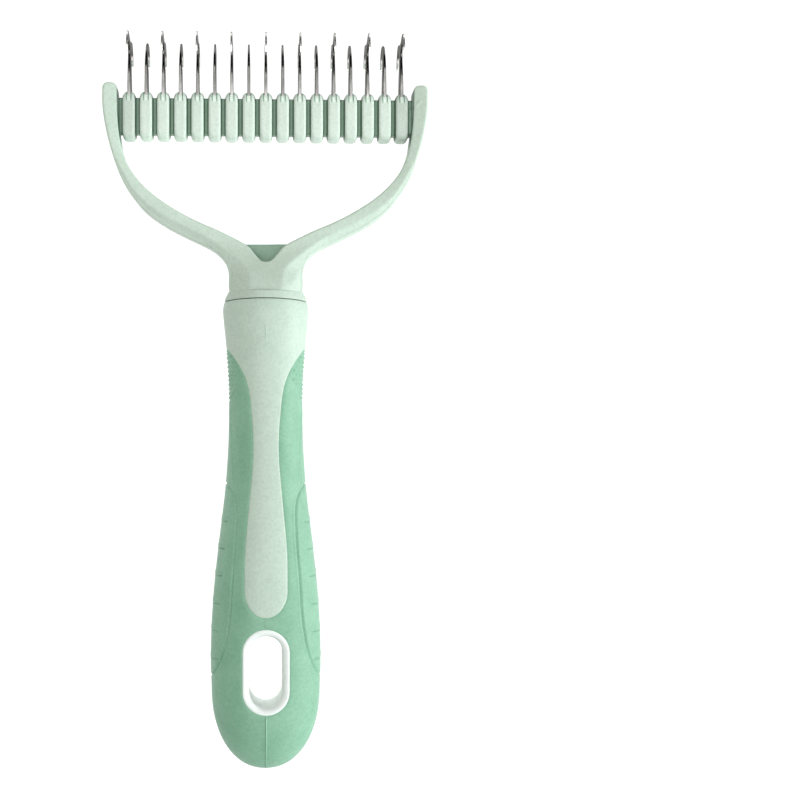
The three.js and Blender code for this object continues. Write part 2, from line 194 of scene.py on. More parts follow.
def snap(grid, place, field, locked):
    """Slides a grid's corners along its edges onto a field's zero line, so the line runs along edges.

    grid holds two coordinates for each row and column, place() turns them into points and field()
    gives the value there. Locked corners stay, and the first and last column keep their coordinate.
    """
    rows, columns = locked.shape
    value = field(place(grid.reshape(-1, 2))).reshape(rows, columns)
    shift = np.full((rows, columns), np.inf)
    target = grid.copy()
    corner = np.arange(rows * columns).reshape(rows, columns)
    edges = [(corner[:, :-1], corner[:, 1:], True), (corner[:-1], corner[1:], False)]
    flat, flat_value, flat_locked = grid.reshape(-1, 2), value.reshape(-1), locked.reshape(-1)
    flat_shift, flat_target = shift.reshape(-1), target.reshape(-1, 2)
    for first, second, across in edges:
        a, b = first.reshape(-1), second.reshape(-1)
        crossing = flat_value[a] * flat_value[b] < 0
        a, b = a[crossing], b[crossing]
        low, high = np.zeros(len(a)), np.ones(len(a))
        for _ in range(12):
            middle = (low + high) / 2
            there = field(place(flat[a] + middle[:, None] * (flat[b] - flat[a])))
            same = there * flat_value[a] > 0
            low, high = np.where(same, middle, low), np.where(same, high, middle)
        t = (low + high) / 2
        column_a, column_b = a % columns, b % columns
        stuck_a = flat_locked[a] | (across & ((column_a == 0) | (column_a == columns - 1)))
        stuck_b = flat_locked[b] | (across & ((column_b == 0) | (column_b == columns - 1)))
        use_a = ((t < 0.5) & ~stuck_a) | stuck_b
        mover = np.where(use_a, a, b)
        travel = np.where(use_a, t, 1 - t)
        free = ~np.where(use_a, stuck_a, stuck_b)
        goal = flat[a] + t[:, None] * (flat[b] - flat[a])
        order = np.argsort(-travel)
        order = order[free[order]]
        better = travel[order] < flat_shift[mover[order]]
        order = order[better]
        flat_target[mover[order]] = goal[order]
        flat_shift[mover[order]] = travel[order]
    moved = np.isfinite(shift)
    grid[moved] = target[moved]
    locked |= moved
    return moved | (value == 0)


def grid_faces(rows, columns, on_line):
    """Faces of a grid; a face with a line across it is split along that line."""
    corner = np.arange(rows * columns).reshape(rows, columns)
    a, b = corner[:-1, :-1].reshape(-1), corner[:-1, 1:].reshape(-1)
    d, c = corner[1:, :-1].reshape(-1), corner[1:, 1:].reshape(-1)
    line = on_line.reshape(-1)
    along_ac = line[a] & line[c]
    along_bd = line[b] & line[d] & ~along_ac
    whole = ~(along_ac | along_bd)
    quads = np.stack([a, b, c, d], 1)
    pieces = [
        quads[whole],
        np.stack([a, b, c, c], 1)[along_ac], np.stack([a, c, d, d], 1)[along_ac],
        np.stack([a, b, d, d], 1)[along_bd], np.stack([b, c, d, d], 1)[along_bd],
    ]
    return np.vstack(pieces)


def centre_of(points, faces):
    return points[faces].mean(1)


def compact(data, faces):
    """Drops the points that no face uses."""
    used, renumbered = np.unique(faces, return_inverse=True)
    return data[used], renumbered.reshape(faces.shape)


def mirrored(sheet, axis):
    data, faces = sheet
    data = data.copy()
    data[:, [axis, axis + 3]] *= -1
    return data, faces[:, ::-1]


def joined(*sheets):
    """One sheet of several, with the corners that coincide made one."""
    starts = np.cumsum([0] + [len(data) for data, _ in sheets[:-1]])
    data = np.vstack([data for data, _ in sheets])
    faces = np.vstack([faces + start for (_, faces), start in zip(sheets, starts)])
    cells = np.round(data[:, :3], 4) + 0.0
    _, first, renumbered = np.unique(cells, axis=0, return_index=True, return_inverse=True)
    faces = renumbered.reshape(-1)[faces]
    ordered = np.sort(faces, axis=1)
    corners = 1 + (np.diff(ordered, axis=1) > 0).sum(1)
    return data[first], faces[corners > 2]


def open_edges(faces, count):
    """The directed edges that only one face uses."""
    a, b = faces.reshape(-1), np.roll(faces, -1, axis=1).reshape(-1)
    a, b = a[a != b], b[a != b]
    forward, backward = a * count + b, b * count + a
    alone = ~np.isin(forward, backward)
    return a[alone], b[alone]


def rimmed(sheet, steps):
    """Adds strips round a sheet's open edges. Each step is (out, down): how far the edge moves
    along its direction and along -Z, counted from the edge; down turns with the side of the plane."""
    data, faces = sheet
    a, b = open_edges(faces, len(data))
    corners = np.unique(np.concatenate([a, b]))
    last = np.arange(len(data))
    parts, strips = [data], [faces]
    count = len(data)
    for out, down in steps:
        ring = data[corners].copy()
        ring[:, :3] += out * ring[:, 3:]
        ring[:, 2] -= down
        following = last.copy()
        following[corners] = count + np.arange(len(corners))
        strips.append(np.stack([last[b], last[a], following[a], following[b]], 1))
        parts.append(ring)
        count += len(corners)
        last = following
    return np.vstack(parts), np.vstack(strips)


def loft(rows, closed=True):
    """A skin through rows of points that all have the same count."""
    rows = np.array(rows)
    count = rows.shape[1]
    corner = np.arange(rows.shape[0] * count).reshape(rows.shape[0], count)
    if closed:
        corner = np.hstack([corner, corner[:, :1]])
    faces = np.stack([corner[:-1, :-1], corner[:-1, 1:], corner[1:, 1:], corner[1:, :-1]], -1).reshape(-1, 4)
    data = np.zeros((rows.shape[0] * count, 6))
    data[:, :3] = rows.reshape(-1, 3)
    return data, faces


def capped(rows):
    """A skin through closed rows, with both ends drawn in to their middles."""
    first, last = rows[0].mean(0), rows[-1].mean(0)
    return loft([np.repeat(first[None], len(rows[0]), 0), *rows, np.repeat(last[None], len(rows[0]), 0)])


def rounded_rectangle(half_a, half_b, corner, steps=6):
    """A closed outline, anticlockwise from its +a side."""
    angles = np.linspace(0, math.pi / 2, steps + 1)
    arcs = []
    for k, (side_a, side_b) in enumerate([(1, 1), (-1, 1), (-1, -1), (1, -1)]):
        turned = angles + k * math.pi / 2
        centre = [side_a * (half_a - corner), side_b * (half_b - corner)]
        arcs.append(np.stack([centre[0] + corner * np.cos(turned), centre[1] + corner * np.sin(turned)], 1))
    return np.vstack(arcs)


def build(name, sheet, material, slot, *nodes, sharp=35.0):
    """Makes a piece of a sheet, puts it in the frame and hides the CAD nodes that it stands for."""
    data, faces = joined(sheet)
    points = data[:, :3] * MM + np.array([0, BUTT_Y, MIDDLE_Z])
    mesh = bpy.data.meshes.new(name)
    mesh.from_pydata(points.tolist(), [], corner_lists(faces))
    mesh.update()
    mesh.shade_smooth()
    mesh.set_sharp_from_angle(angle=math.radians(sharp))
    mesh.materials.append(material)
    piece = bpy.data.objects.new(name, mesh)
    bpy.context.scene.collection.objects.link(piece)
    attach(piece, "root")
    if nodes:
        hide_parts(*nodes)
    return piece


# ------------------------------------------------------------------ materials

def shader(name, roughness, metallic=0.0):
    """A material with a Principled surface; returns it with its nodes, links and that surface."""
    material = bpy.data.materials.new(name)
    material.use_nodes = True
    tree = material.node_tree
    surface = tree.nodes["Principled BSDF"]
    surface.inputs["Roughness"].default_value = roughness
    surface.inputs["Metallic"].default_value = metallic
    return material, tree, surface


def noise(tree, coordinate, scale, detail=3.0, roughness=0.55):
    node = tree.nodes.new("ShaderNodeTexNoise")
    node.inputs["Scale"].default_value = scale
    node.inputs["Detail"].default_value = detail
    node.inputs["Roughness"].default_value = roughness
    tree.links.new(coordinate, node.inputs["Vector"])
    return node.outputs["Fac"]


def white(tree):
    """Plain white, which leaves a colour as it is when multiplied."""
    node = tree.nodes.new("ShaderNodeRGB")
    node.outputs[0].default_value = (1, 1, 1, 1)
    return node.outputs[0]


def ramp(tree, value, *stops):
    """A colour or grey that follows a value through (place, colour) stops, or between two greys."""
    if not isinstance(stops[0], tuple):
        stops = ((0.0, float(stops[0])), (1.0, float(stops[1])))
    node = tree.nodes.new("ShaderNodeValToRGB")
    band = node.color_ramp
    while len(band.elements) < len(stops):
        band.elements.new(0.5)
    for element, (place, colour) in zip(band.elements, stops):
        element.position = place
        element.color = (*colour, 1) if isinstance(colour, tuple) else (colour, colour, colour, 1)
    tree.links.new(value, node.inputs["Fac"])
    return node.outputs["Color"]


def mixed(tree, share, first, second, blend="MIX"):
    """Blends two colours; share may be a number or a socket."""
    node = tree.nodes.new("ShaderNodeMix")
    node.data_type = "RGBA"
    node.blend_type = blend
    if isinstance(share, float):
        node.inputs["Factor"].default_value = share
    else:
        tree.links.new(share, node.inputs["Factor"])
    tree.links.new(first, node.inputs["A"])
    tree.links.new(second, node.inputs["B"])
    return node.outputs["Result"]


def bumped(tree, surface, height, distance, strength=1.0):
    """Adds a bump to a surface, without moving its mesh."""
    node = tree.nodes.new("ShaderNodeBump")
    node.inputs["Distance"].default_value = distance
    node.inputs["Strength"].default_value = strength
    tree.links.new(height, node.inputs["Height"])
    tree.links.new(node.outputs["Normal"], surface.inputs["Normal"])


def coordinates(tree, stretch=(1, 1, 1)):
    """Object coordinates, stretched along each axis."""
    place = tree.nodes.new("ShaderNodeTexCoord")
    mapping = tree.nodes.new("ShaderNodeMapping")
    mapping.inputs["Scale"].default_value = stretch
    tree.links.new(place.outputs["Object"], mapping.inputs["Vector"])
    return mapping.outputs["Vector"]


def share_of(tree, axis, low, high, middle=0.0):
    """0 to 1 between two distances from a middle along an object axis, in millimetres."""
    place = tree.nodes.new("ShaderNodeTexCoord")
    axes = tree.nodes.new("ShaderNodeSeparateXYZ")
    tree.links.new(place.outputs["Object"], axes.inputs["Vector"])
    apart = tree.nodes.new("ShaderNodeMath")
    apart.operation = "SUBTRACT"
    tree.links.new(axes.outputs[axis], apart.inputs[0])
    apart.inputs[1].default_value = middle
    distance = tree.nodes.new("ShaderNodeMath")
    distance.operation = "ABSOLUTE"
    tree.links.new(apart.outputs["Value"], distance.inputs[0])
    share = tree.nodes.new("ShaderNodeMapRange")
    share.inputs["From Min"].default_value = low * MM
    share.inputs["From Max"].default_value = high * MM
    tree.links.new(distance.outputs["Value"], share.inputs["Value"])
    return share.outputs["Result"]


def from_ring(tree):
    """Distance from the nearest ring's middle, as a share of half the pitch."""
    place = tree.nodes.new("ShaderNodeTexCoord")
    axes = tree.nodes.new("ShaderNodeSeparateXYZ")
    tree.links.new(place.outputs["Object"], axes.inputs["Vector"])
    fold = tree.nodes.new("ShaderNodeMath")
    fold.operation = "PINGPONG"
    tree.links.new(axes.outputs["X"], fold.inputs[0])
    fold.inputs[1].default_value = RING_PITCH / 2 * MM
    scaled = tree.nodes.new("ShaderNodeMath")
    scaled.operation = "DIVIDE"
    tree.links.new(fold.outputs["Value"], scaled.inputs[0])
    scaled.inputs[1].default_value = RING_PITCH / 2 * MM
    return scaled.outputs["Value"]


def comb_painted_shade_and_highlight(tree):
    """Painted shade between the rings, on the end rings and beside a painted highlight in each blade's notch.
    """
    # painted shade in the gaps between the rings
    gaps = ramp(tree, from_ring(tree), (0.66, 1.0), (0.75, (0.13, 0.24, 0.17)),
                (0.82, (0.15, 0.26, 0.19)), (0.92, (0.42, 0.54, 0.45)))
    # painted highlight in the middle of each notch, painted shade on its flanks
    notch = ramp(tree, from_ring(tree), (0.17, 1.25), (0.22, (0.28, 0.4, 0.34)), (0.3, (0.36, 0.5, 0.42)),
                 (0.35, 1.0))
    marked = mixed(tree, 1.0, gaps, notch, "MULTIPLY")
    marked = mixed(tree, ramp(tree, share_of(tree, "Y", 195.5, 196.3, BUTT_Y), 0, 1), gaps, marked)
    # painted shade on the two end rings
    ends = ramp(tree, share_of(tree, "X", 37.2, 38.2), (0.0, 1.0), (1.0, 0.84))
    return mixed(tree, 1.0, marked, ends, "MULTIPLY")


def yoke_painted_shade(tree):
    """Painted shade on the neck, in the crotch of the fork and on the arms beside the end rings."""
    # painted shade on the web in the crotch
    web = ramp(tree, share_of(tree, "Z", 2.1, 2.6, MIDDLE_Z), (0.0, (0.5, 0.62, 0.56)), (1.0, 1.0))
    web = mixed(tree, ramp(tree, share_of(tree, "X", 8, 8.5), 0, 1), web, white(tree))
    web = mixed(tree, ramp(tree, share_of(tree, "Y", 155, 156, BUTT_Y), 0, 1), web, white(tree))
    # painted shade on the arms' inner edges beside the end rings
    arm = ramp(tree, share_of(tree, "X", 43.2, 43.9), (0.0, (0.2, 0.32, 0.26)), (1.0, 1.0))
    arm = mixed(tree, ramp(tree, share_of(tree, "Y", 7, 9.5, BUTT_Y + 191.5 * MM), 0, 1), arm, white(tree))
    arm = mixed(tree, ramp(tree, share_of(tree, "X", 40, 40.5), 0, 1), white(tree), arm)
    arm = mixed(tree, ramp(tree, share_of(tree, "Z", 4.9, 5.6, MIDDLE_Z), 0, 1), arm, white(tree))
    # painted shade on the neck
    neck = ramp(tree, share_of(tree, "Y", 138, 154, BUTT_Y), (0.0, 0.88), (1.0, 1.0))
    return mixed(tree, 1.0, mixed(tree, 1.0, web, arm, "MULTIPLY"), neck, "MULTIPLY")


def moulded(name, deep, body, pale, roughness, grain, specular, painted_shade=None):
    """Moulded plastic: a cloudy colour, a sandy grain, patchy roughness and a fine spark-eroded skin."""
    material, tree, surface = shader(name, roughness)
    place = coordinates(tree)
    clouds = ramp(tree, noise(tree, place, 130, 5, 0.7), (0.3, deep), (0.5, body), (0.7, pale))
    sand = ramp(tree, noise(tree, place, 1150, 2, 0.75), (0.3, grain), (0.6, 1.0), (0.8, 1.0))
    colour = mixed(tree, 1.0, clouds, sand, "MULTIPLY")
    # where given, painted shade and painted highlight are multiplied into the colour
    if painted_shade:
        colour = mixed(tree, 1.0, colour, painted_shade(tree), "MULTIPLY")
    tree.links.new(colour, surface.inputs["Base Color"])
    finish = ramp(tree, noise(tree, place, 420, 3), (0.3, roughness - 0.06), (0.7, roughness + 0.08))
    tree.links.new(finish, surface.inputs["Roughness"])
    bumped(tree, surface, noise(tree, place, 2600, 2, 0.6), 0.00004, 0.55)
    surface.inputs["Specular IOR Level"].default_value = specular
    return material


def blade_painted_light(tree):
    """A blade's painted light: a highlight at the foot, shade up the shank and in the hooks' hollow, then the
    crown.
    """
    low, high = BLADE_PAINTED_LIGHT[0][0], 216.0
    tones = [((y - low) / (high - low), tone) for y, tone in BLADE_PAINTED_LIGHT]
    shank = ramp(tree, share_of(tree, "Y", low, high, BUTT_Y), *tones)
    hooks = ramp(tree, share_of(tree, "Z", 5.5, 12.5, MIDDLE_Z), (0.0, 0.0), (0.2, 1.0))
    # a painted highlight at the hooks' tips
    reach = ramp(tree, share_of(tree, "Z", 5.5, 12.5, MIDDLE_Z), (0.0, 0.4), (0.7, 0.45), (0.92, 2.2))
    return mixed(tree, hooks, shank, reach)


def ground_steel():
    """Stamped steel: grinding lines along the blade, darker smears, bright scuffs, and painted light and
    shade.
    """
    material, tree, surface = shader("blade_steel", 0.26, 1.0)
    surface.inputs["Specular Tint"].default_value = (0.32, 0.32, 0.31, 1)
    lines = noise(tree, coordinates(tree, (1, 0.05, 1)), 5200, 3, 0.6)
    smears = noise(tree, coordinates(tree, (1, 0.35, 1)), 420, 3)
    tone = ramp(tree, smears, (0.3, (0.3, 0.293, 0.28)), (0.52, (0.48, 0.47, 0.45)),
                (0.75, (0.74, 0.735, 0.72)))
    tone = mixed(tree, 1.0, tone, blade_painted_light(tree), "MULTIPLY")
    # painted shade on faces that look along X, the blades' flat sides
    skin = tree.nodes.new("ShaderNodeSeparateXYZ")
    tree.links.new(tree.nodes.new("ShaderNodeNewGeometry").outputs["Normal"], skin.inputs["Vector"])
    across = tree.nodes.new("ShaderNodeMath")
    across.operation = "ABSOLUTE"
    tree.links.new(skin.outputs["X"], across.inputs[0])
    painted_side_shade = ramp(tree, across.outputs["Value"], (0.35, 1.0), (0.8, 0.3), (1.0, 0.22))
    tree.links.new(mixed(tree, 1.0, tone, painted_side_shade, "MULTIPLY"), surface.inputs["Base Color"])
    tree.links.new(ramp(tree, lines, (0.3, 0.18), (0.7, 0.4)), surface.inputs["Roughness"])
    bumped(tree, surface, lines, 0.00002, 0.6)
    return material


RING_PITCH = 5.0
# Painted highlight and shade up a blade's shank, as (y, tone).
BLADE_PAINTED_LIGHT = [(196, 0.95), (198.5, 0.48), (202.5, 0.32), (205.8, 0.3), (206.6, 0.02), (209.6, 0.02),
               (210.6, 0.45), (213, 0.55)]

PALE = moulded("pale_plastic", (0.515, 0.64, 0.535), (0.54, 0.665, 0.56), (0.565, 0.69, 0.585),
               0.5, 0.89, 0.3)
# A lighter copy of the pale plastic: painted light on the yoke, which also takes painted shade on its neck,
# crotch and arms.
YOKE_PALE_PAINTED_LIGHT = moulded("yoke_plastic_painted_light", (0.565, 0.69, 0.58), (0.59, 0.715, 0.605), (0.615, 0.74, 0.63),
                    0.5, 0.89, 0.3, yoke_painted_shade)
# A far lighter copy of the pale plastic for the slot's liner: painted light standing in for the light that
# falls in the slot.
RIM_PALE_PAINTED_LIGHT = moulded("rim_plastic_painted_light", (0.85, 0.91, 0.865), (0.88, 0.935, 0.895), (0.9, 0.95, 0.91),
                   0.5, 0.96, 0.22)
COMB = moulded("comb_plastic", (0.67, 0.80, 0.69), (0.715, 0.835, 0.73), (0.75, 0.865, 0.765),
               0.46, 0.9, 0.3, comb_painted_shade_and_highlight)
GREEN = moulded("soft_green", (0.22, 0.445, 0.3), (0.243, 0.475, 0.325), (0.268, 0.508, 0.352),
                0.5, 0.88, 0.42)
STEEL = ground_steel()


# ------------------------------------------------------------------ handle

CELL = 0.42
FINE_CELL = 0.17
QUARTER_COLUMNS = 84
PANEL_LINE = spline([[16.2, 27.3], [15.2, 28.8], [13.9, 31], [12.1, 36], [11.0, 42], [10.4, 47.5], [9.8, 57],
                     [9.2, 64], [8.8, 71.5], [8.8, 77.2], [9.6, 80.8], [12.1, 84.6]], 8)
RIB_HEIGHTS = [33.1, 41.3, 49.3, 57.5, 65.4, 73.3]
PATCH_MIDDLE = 115.0
RIDGE_X = 9.5
WITNESS_Y = 129.9
DOT_PITCH_X = 2.3
DOT_PITCH_Y = 1.3
DOT_RADIUS = 0.5
MM_PER_DEGREE = 0.19
SKIN_DEPTH = 2.0


def handle_profile():
    """Rows of [arc length, y, half width, half depth] from the butt's pole to the seam."""
    turn = np.linspace(0, math.pi / 2, 240)
    swell = power(np.sin(turn), BUTT_EXPONENT)
    butt = np.stack([BUTT_CENTRE * (1 - power(np.cos(turn), BUTT_EXPONENT)),
                     STATIONS[0, 1] * swell, STATIONS[0, 2] * swell], 1)
    y = np.linspace(BUTT_CENTRE, SEAM, 800)[1:]
    shaft = np.stack([y, along_stations(y, 1), along_stations(y, 2)], 1)
    rows = np.vstack([butt, shaft])
    steps = np.hypot(np.diff(rows[:, 0]), np.diff(rows[:, 1]))
    return np.column_stack([np.concatenate([[0], np.cumsum(steps)]), rows])


PROFILE = handle_profile()


def handle_point(grid):
    """Points of the handle's skin for rows of [angle round it, arc length along it]."""
    angle, arc = grid[:, 0], grid[:, 1]
    y, width, depth = (np.interp(arc, PROFILE[:, 0], PROFILE[:, k]) for k in (1, 2, 3))
    return np.stack([width * power(np.cos(angle), SECTION_EXPONENT), y,
                     depth * power(np.sin(angle), SECTION_EXPONENT)], 1)


def handle_normal(grid):
    """Outward directions of the handle's skin for rows of [angle, arc length]."""
    step = 1e-3
    round_it = handle_point(grid + [step, 0]) - handle_point(grid - [step, 0])
    along_it = handle_point(grid + [0, 0.2]) - handle_point(grid - [0, 0.2])
    normal = np.cross(along_it, round_it)
    length = np.linalg.norm(normal, axis=1, keepdims=True)
    normal = np.where(length > 1e-9, normal / np.maximum(length, 1e-9), [0, -1, 0])
    normal[grid[:, 1] < 0.05] = [0, -1, 0]
    return normal


def handle_front(x, y):
    """Height of the handle's front skin over a flat point."""
    width = np.interp(y, PROFILE[:, 1], PROFILE[:, 2])
    depth = np.interp(y, PROFILE[:, 1], PROFILE[:, 3])
    reach = np.clip(1 - np.abs(x / width) ** SECTION_EXPONENT, 0, 1)
    return depth * reach ** (1 / SECTION_EXPONENT)


def window_outline():
    """Outline of the hard window in X and Y, open towards the collar."""
    side = spline(WINDOW_SIDE, 12)
    top = np.array([[16, SEAM + 3], [-16, SEAM + 3]])
    centre, half_width = WINDOW_SIDE[0][1], WINDOW_SIDE[0][0]
    turn = np.linspace(math.pi, 2 * math.pi, 40)[1:-1]
    bulb = np.stack([half_width * np.cos(turn), centre + (centre - WINDOW_BOTTOM) * np.sin(turn)], 1)
    return np.vstack([side, top, side[::-1] * [-1, 1], bulb])


WINDOW = window_outline()


def outside_window(points):
    return -inside(points[:, :2], WINDOW)


def outside_slot(points):
    """Distance outside the slot's hard ring."""
    past = np.maximum(np.abs(points[:, 1] - SLOT_Y) - SLOT_STRAIGHT, 0)
    return np.hypot(points[:, 0], past) - SLOT_HALF_WIDTH - LINER


def in_cover(points):
    """Distance inside the soft cover, negative where the hard core shows."""
    return np.minimum(outside_window(points), outside_slot(points))


def past_panel_line(points):
    """Distance outside the side panel's cut line."""
    return points[:, 0] - np.interp(points[:, 1], PANEL_LINE[:, 1], PANEL_LINE[:, 0])


def past_patch_edge(points):
    """Distance outside the inner edge of the dotted lens."""
    return points[:, 0] - 7.5 - 3.3 * ((points[:, 1] - PATCH_MIDDLE) / 7) ** 2


def cover_relief(points, angle, edge):
    """How far the soft cover stands off the handle's plain skin."""
    x, y = points[:, 0], points[:, 1]
    relief = 0.07 * fade(edge, 0.1, 1.2) - 0.17 * np.clip(1 - edge / 0.55, 0, 1) ** 2
    # the cut line round each side panel
    past = past_panel_line(points)
    within = fade(y, 26.8, 28.2) * (1 - fade(y, 84, 85.4))
    relief -= 0.5 * within * np.clip(1 - np.abs(past) / 0.4, 0, 1)
    relief += 0.1 * within * np.clip(1 - np.abs(past + 0.75) / 0.45, 0, 1)
    # finger ribs that wrap round the side
    reach = 1 - fade(np.degrees(angle), 28, 35)
    for height in RIB_HEIGHTS:
        swell = np.exp(-((y - height - 0.55) / 0.8) ** 2)
        nick = np.exp(-((y - height + 0.45) / 0.26) ** 2)
        relief += reach * (0.12 * swell - 0.42 * nick * fade(np.degrees(angle), 1, 12))
    # the dotted lens under the thumb
    lens = np.clip(past_patch_edge(points) / 0.4, 0, 1)
    relief -= 0.16 * lens + 0.12 * (lens > 0) * (lens < 1)
    row = np.floor((y - PATCH_MIDDLE) / DOT_PITCH_Y)
    along = np.degrees(angle) * MM_PER_DEGREE / DOT_PITCH_X + 0.5 * (row % 2)
    apart = np.hypot((along - np.round(along)) * DOT_PITCH_X, y - PATCH_MIDDLE - DOT_PITCH_Y * (row + 0.5))
    relief += 0.26 * (lens >= 1) * np.clip(1 - (apart / DOT_RADIUS) ** 2, 0, 1)
    # a fine ridge runs on from the lens to the side panel
    run = fade(y, 82, 86) * (1 - fade(y, 104, 107))
    relief += 0.3 * run * np.exp(-((x - RIDGE_X - 0.045 * (y - 84)) / 0.2) ** 2)
    # the mould's parting ridge down the middle of the butt
    ridge = np.abs(x) < 0.02
    return relief + 0.3 * ridge * fade(edge, 0.2, 1.5) * np.where(y < SLOT_Y, 1.0, 0.3)


def core_relief(points, edge):
    """The same for the hard core where it shows."""
    x, y = points[:, 0], points[:, 1]
    relief = -0.12 * np.clip(1 - edge / 0.4, 0, 1) ** 2
    relief -= 0.16 * np.clip(1 - (SEAM - y) / 0.5, 0, 1) ** 2
    # a witness line across the collar, steep towards the butt, and the parting line that meets it
    step = fade(y, WITNESS_Y - 0.35, WITNESS_Y) * (1 - fade(y, WITNESS_Y, WITNESS_Y + 2.2))
    relief += 0.2 * step * (1 - fade(np.abs(x), 6.5, 8))
    met = fade(y, WITNESS_Y - 6, WITNESS_Y - 2) * (1 - fade(y, WITNESS_Y - 0.5, WITNESS_Y))
    return relief + 0.12 * (np.abs(x) < 0.02) * met


def handle_sheets():
    """The skins of the soft cover and of the hard core, each with all four quarters."""
    share = np.linspace(0, 1, QUARTER_COLUMNS + 1)
    angles = math.pi / 2 * (share + 0.25 / math.pi * np.sin(math.pi * share))
    arcs, end = [0.0], PROFILE[-1, 0]
    nicks = np.array(RIB_HEIGHTS + [WITNESS_Y + 0.45]) - 0.45
    while arcs[-1] < end - 0.5 * CELL:
        y = np.interp(arcs[-1], PROFILE[:, 0], PROFILE[:, 1])
        fine = 107 < y < 123 or np.abs(nicks - y).min() < 0.9
        arcs.append(arcs[-1] + (FINE_CELL if fine else CELL))
    arcs[-1] = end
    grid = np.stack(np.meshgrid(angles, arcs), -1)
    locked = np.zeros(grid.shape[:2], bool)
    locked[0] = locked[-1] = True
    on_line = np.zeros_like(locked)
    for field in (in_cover, past_panel_line, past_patch_edge):
        on_line |= snap(grid, handle_point, field, locked)
    flat = grid.reshape(-1, 2)
    points, normals = handle_point(flat), handle_normal(flat)
    faces = grid_faces(*locked.shape, on_line)
    middles = centre_of(points, faces)
    covers = in_cover(middles) > 0
    window = ~covers & (outside_window(middles) < 0)
    edge = in_cover(points)
    sheets = []
    for chosen, relief in ((covers, cover_relief(points, flat[:, 0], np.maximum(edge, 0))),
                           (window, core_relief(points, np.maximum(-edge, 0)))):
        data = np.hstack([points + relief[:, None] * normals, normals])
        data[:, 1] += seam_lift(points[:, 0]) * fade(points[:, 1], SEAM - 7, SEAM)
        quarter = compact(data, faces[chosen][:, ::-1])
        half = joined(quarter, mirrored(quarter, 0))
        sheets.append(joined(half, mirrored(half, 2)))
    return sheets


def slot_liner():
    """The hard ring that lines the hanging slot: [out from the wall, down from the skin]."""
    lip = [(2.0, 1.7), (2.0, 0.14), (1.9, 0.03), (1.7, -0.03), (1.35, 0.0), (1.0, 0.1), (0.68, 0.3),
           (0.4, 0.6), (0.18, 1.0), (0.05, 1.5), (0.0, 2.1)]
    turn = np.linspace(0, math.pi, 41)
    round_end = np.stack([np.cos(turn), np.sin(turn)], 1)
    normals = np.vstack([round_end, -round_end])
    centres = np.repeat([[0, SLOT_Y + SLOT_STRAIGHT], [0, SLOT_Y - SLOT_STRAIGHT]], len(turn), 0)
    outer = centres + normals * (SLOT_HALF_WIDTH + LINER)
    skin = handle_front(outer[:, 0], outer[:, 1])
    rows = []
    for out, down in lip:
        flat = centres + normals * (SLOT_HALF_WIDTH + out)
        rows.append(np.column_stack([flat, skin - down]))
    through = rows[-1]
    for share in np.linspace(1, -1, 7)[1:-1]:
        rows.append(through * [1, 1, share])
    rows += [row * [1, 1, -1] for row in rows[:len(lip)][::-1]]
    data, faces = loft(rows)
    return data, faces


def make_handle():
    cover, core = handle_sheets()
    build("grip_cover_skin", thickened(cover, SKIN_DEPTH), GREEN, "soft_grip", "grip_cover")
    build("grip_core_shell", thickened(core, SKIN_DEPTH), PALE, "pale_shell", "grip_core")
    build("grip_core_slot_rim", slot_liner(), RIM_PALE_PAINTED_LIGHT, "pale_shell", "grip_core")


def thickened(sheet, depth):
    """Turns a skin's open edges in by depth, against its directions."""
    return rimmed(sheet, [(-depth, 0)])


# ------------------------------------------------------------------ yoke

YOKE_CELL = 0.36
BAND_TOP = 140.4
BAND = [12.12, 11.6]
# Right arm, from the neck up: its outer edge, its front crease and its inner edge.
OUTER = [[10.4, 138.9], [10.7, 140.4], [10.85, 141.8], [10.8, 143.4], [10.85, 145.4], [11.8, 148.9],
         [15.2, 152.4], [22.5, 156], [29.2, 159.5], [35, 163.6], [39, 168.2], [42, 172.9], [44, 178],
         [45.7, 183.6], [46.9, 189], [47.6, 194.4], [47.65, 198.9], [47.45, 200.2],
         [46.7, 200.95], [45.5, 201.05]]
CREASE = [[4.8, 136], [4.8, 140], [4.8, 142.5], [5.2, 145.9], [6.3, 147.6], [8.0, 149.2], [11.3, 151.8],
          [15, 154.6], [20, 157.4], [25.5, 160], [31, 163], [35, 166], [38.6, 169.8], [41, 173.6],
          [43.2, 178],
          [44.9, 182.6], [46.2, 188.6], [47.1, 194.4], [47.3, 198.6], [47.0, 202.5]]
INNER = [[0, 148.7], [1.5, 149.15], [3.2, 151.0], [4.8, 153.0], [7.0, 154.6], [13.2, 157.7], [21.4, 161.3],
         [28.1, 165], [34.0, 169.3], [38.5, 174.2], [41.5, 179.9], [42.7, 185.5], [43.3, 192], [43.45, 198.9],
         [43.65, 200.2], [44.4, 200.95], [45.5, 201.05]]
BEVEL_DROP = 3.3
BEVEL_WIDTH = 3.6
RIM = 0.6


